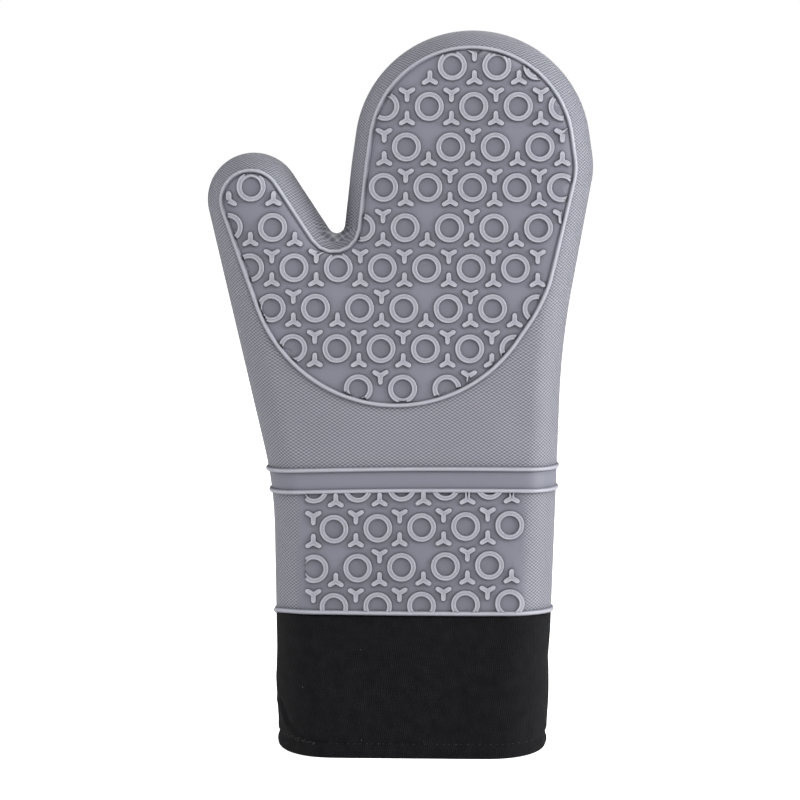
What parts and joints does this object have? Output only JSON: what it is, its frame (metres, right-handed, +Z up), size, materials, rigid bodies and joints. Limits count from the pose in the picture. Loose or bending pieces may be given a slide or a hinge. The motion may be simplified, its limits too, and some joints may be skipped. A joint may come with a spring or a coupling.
{
  "type": "oven mitt",
  "caption": "Long oven mitt: a ribbed, embossed silicone shell over a quilted liner, with a black cotton cuff; fingers and thumb fold towards the palm.",
  "frame": {"origin": "centre of the width and depth, on the plane of the cuff's hem", "axes": "+Z up from the open cuff to the fingertips; the palm faces -Y; the thumb is at -X"},
  "size_m": [0.197, 0.0561, 0.3698],
  "materials": {
    "silicone": "matt moulded grey silicone",
    "cuff_cotton": "black cotton drill",
    "lining_cotton": "dark grey brushed cotton, quilted",
    "backing_cloth": "thin grey non-woven cloth",
    "wadding": "needled polyester wadding",
    "thread": "black spun polyester thread"
  },
  "bodies": {
    "hand": {"silicone_shell_hand": "silicone", "cuff_band": "cuff_cotton", "cuff_side_seam": "thread", "cuff_join_stitch": "thread", "hem_topstitch": "thread", "hem_back_tack": "thread", "palm_backing_hand": "backing_cloth", "palm_wadding_hand": "wadding", "palm_lining_hand": "lining_cotton", "back_backing_hand": "backing_cloth", "back_wadding_hand": "wadding", "back_lining_hand": "lining_cotton", "liner_seam_hand": "thread"},
    "fingers": {"silicone_shell_fingers": "silicone", "palm_backing_fingers": "backing_cloth", "palm_wadding_fingers": "wadding", "palm_lining_fingers": "lining_cotton", "back_backing_fingers": "backing_cloth", "back_wadding_fingers": "wadding", "back_lining_fingers": "lining_cotton", "liner_seam_fingers": "thread"},
    "thumb": {"silicone_shell_thumb": "silicone", "palm_backing_thumb": "backing_cloth", "palm_wadding_thumb": "wadding", "palm_lining_thumb": "lining_cotton", "back_backing_thumb": "backing_cloth", "back_wadding_thumb": "wadding", "back_lining_thumb": "lining_cotton", "liner_seam_thumb": "thread"}
  },
  "joints": [
    {"name": "finger_fold", "type": "hinge", "parent": "hand", "child": "fingers", "pos_m": [0.037, -0.006, 0.288], "axis": [1, 0, 0], "range_deg": [0, 45], "stiffness_Nm_per_rad": 0.3},
    {"name": "thumb_fold", "type": "hinge", "parent": "hand", "child": "thumb", "pos_m": [-0.0325, -0.006, 0.271], "axis": [0.5592, 0, 0.829], "range_deg": [0, 40], "stiffness_Nm_per_rad": 0.3}
  ]
}
